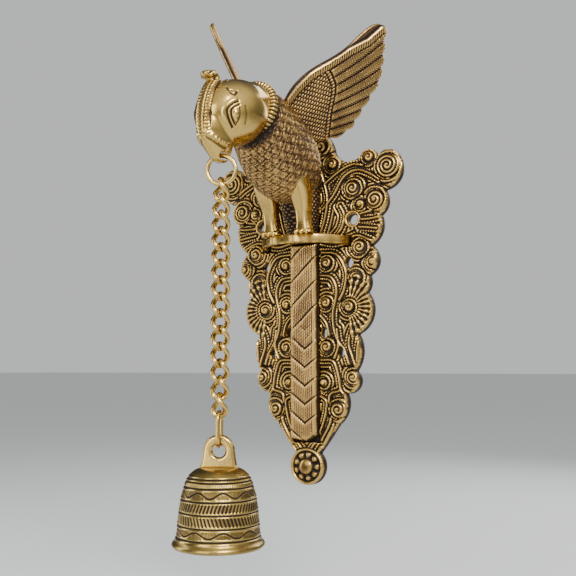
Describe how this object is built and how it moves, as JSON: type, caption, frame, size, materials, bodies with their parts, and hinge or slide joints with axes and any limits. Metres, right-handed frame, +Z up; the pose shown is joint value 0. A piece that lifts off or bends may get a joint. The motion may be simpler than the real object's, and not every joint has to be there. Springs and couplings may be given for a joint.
{
  "type": "wall bracket with hanging bell",
  "caption": "Antique brass wall bracket: a parrot with raised wings on a pierced scroll plate holds a ring, curb chain and hanging puja bell in its bill.",
  "frame": {"origin": "midway between the two wall screw holes, on the wall face of the back plate", "axes": "+Z up, -Y out from the wall, +X to the right for someone facing the wall"},
  "size_m": [0.1454, 0.1354, 0.3512],
  "materials": {
    "antique_brass": "antiqued cast brass, dark patina in the recesses and rubbed bright on the high spots",
    "polished_brass": "smooth hand-finished brass, softly polished",
    "chain_brass": "drawn brass wire, polished",
    "bell_brass": "turned and engraved brass, patina in the cuts",
    "screw_brass": "plain turned brass screws"
  },
  "bodies": {
    "bracket": {"back_plate": "antique_brass", "rear_screws": "screw_brass", "perch_hoop": "polished_brass", "parrot_body": "antique_brass", "neck_collar": "antique_brass", "parrot_head": "polished_brass", "left_wing": "antique_brass", "right_wing": "antique_brass", "tail_plank": "antique_brass"},
    "beak_ring": {"beak_ring": "chain_brass"},
    "chain_link_01": {"chain_link_01": "chain_brass"},
    "chain_link_02": {"chain_link_02": "chain_brass"},
    "chain_link_03": {"chain_link_03": "chain_brass"},
    "chain_link_04": {"chain_link_04": "chain_brass"},
    "chain_link_05": {"chain_link_05": "chain_brass"},
    "chain_link_06": {"chain_link_06": "chain_brass"},
    "chain_link_07": {"chain_link_07": "chain_brass"},
    "chain_link_08": {"chain_link_08": "chain_brass"},
    "chain_link_09": {"chain_link_09": "chain_brass"},
    "chain_link_10": {"chain_link_10": "chain_brass"},
    "chain_link_11": {"chain_link_11": "chain_brass"},
    "chain_link_12": {"chain_link_12": "chain_brass"},
    "chain_link_13": {"chain_link_13": "chain_brass"},
    "chain_link_14": {"chain_link_14": "chain_brass"},
    "long_link": {"long_link": "chain_brass"},
    "bell": {"bell": "bell_brass", "clapper_staple": "chain_brass"},
    "clapper_hook": {"clapper_hook": "chain_brass"},
    "clapper": {"clapper": "bell_brass"}
  },
  "joints": [
    {"name": "ring_swing", "type": "hinge", "parent": "bracket", "child": "beak_ring", "pos_m": [-0.00469, -0.10815, 0.0263], "axis": [0.9272, 0.3746, 0], "range_deg": [-20, 12]},
    {"name": "link_01_sway", "type": "hinge", "parent": "beak_ring", "child": "chain_link_01", "pos_m": [-0.00469, -0.10815, 0.01135], "axis": [-0.3746, 0.9272, 0], "range_deg": [-25, 25]},
    {"name": "link_02_nod", "type": "hinge", "parent": "chain_link_01", "child": "chain_link_02", "pos_m": [-0.00469, -0.10815, 0.00135], "axis": [0.9272, 0.3746, 0], "range_deg": [-14, 14]},
    {"name": "link_03_sway", "type": "hinge", "parent": "chain_link_02", "child": "chain_link_03", "pos_m": [-0.00469, -0.10815, -0.00865], "axis": [0.3746, -0.9272, 0], "range_deg": [-25, 25]},
    {"name": "link_04_nod", "type": "hinge", "parent": "chain_link_03", "child": "chain_link_04", "pos_m": [-0.00469, -0.10815, -0.01865], "axis": [-0.9272, -0.3746, 0], "range_deg": [-16, 16]},
    {"name": "link_05_sway", "type": "hinge", "parent": "chain_link_04", "child": "chain_link_05", "pos_m": [-0.00469, -0.10815, -0.02865], "axis": [-0.3746, 0.9272, 0], "range_deg": [-25, 25]},
    {"name": "link_06_nod", "type": "hinge", "parent": "chain_link_05", "child": "chain_link_06", "pos_m": [-0.00469, -0.10815, -0.03865], "axis": [0.9272, 0.3746, 0], "range_deg": [-18, 18]},
    {"name": "link_07_sway", "type": "hinge", "parent": "chain_link_06", "child": "chain_link_07", "pos_m": [-0.00469, -0.10815, -0.04865], "axis": [0.3746, -0.9272, 0], "range_deg": [-25, 25]},
    {"name": "link_08_nod", "type": "hinge", "parent": "chain_link_07", "child": "chain_link_08", "pos_m": [-0.00469, -0.10815, -0.05865], "axis": [-0.9272, -0.3746, 0], "range_deg": [-20, 20]},
    {"name": "link_09_sway", "type": "hinge", "parent": "chain_link_08", "child": "chain_link_09", "pos_m": [-0.00469, -0.10815, -0.06865], "axis": [-0.3746, 0.9272, 0], "range_deg": [-25, 25]},
    {"name": "link_10_nod", "type": "hinge", "parent": "chain_link_09", "child": "chain_link_10", "pos_m": [-0.00469, -0.10815, -0.07865], "axis": [0.9272, 0.3746, 0], "range_deg": [-24, 24]},
    {"name": "link_11_sway", "type": "hinge", "parent": "chain_link_10", "child": "chain_link_11", "pos_m": [-0.00469, -0.10815, -0.08865], "axis": [0.3746, -0.9272, 0], "range_deg": [-25, 25]},
    {"name": "link_12_nod", "type": "hinge", "parent": "chain_link_11", "child": "chain_link_12", "pos_m": [-0.00469, -0.10815, -0.09865], "axis": [-0.9272, -0.3746, 0], "range_deg": [-28, 28]},
    {"name": "link_13_sway", "type": "hinge", "parent": "chain_link_12", "child": "chain_link_13", "pos_m": [-0.00469, -0.10815, -0.10865], "axis": [-0.3746, 0.9272, 0], "range_deg": [-25, 25]},
    {"name": "link_14_nod", "type": "hinge", "parent": "chain_link_13", "child": "chain_link_14", "pos_m": [-0.00469, -0.10815, -0.11865], "axis": [0.9272, 0.3746, 0], "range_deg": [-30, 30]},
    {"name": "long_link_sway", "type": "hinge", "parent": "chain_link_14", "child": "long_link", "pos_m": [-0.00469, -0.10815, -0.12865], "axis": [0.3746, -0.9272, 0], "range_deg": [-25, 25]},
    {"name": "bell_swing", "type": "hinge", "parent": "long_link", "child": "bell", "pos_m": [-0.00469, -0.10815, -0.14875], "axis": [-0.3746, 0.9272, 0], "range_deg": [-45, 45]},
    {"name": "clapper_hook_swing", "type": "hinge", "parent": "bell", "child": "clapper_hook", "pos_m": [-0.00469, -0.10815, -0.169], "axis": [1, 0, 0], "range_deg": [-24, 24]},
    {"name": "clapper_swing", "type": "hinge", "parent": "clapper_hook", "child": "clapper", "pos_m": [-0.00469, -0.10815, -0.1769], "axis": [0, 1, 0], "range_deg": [-26, 26]}
  ]
}
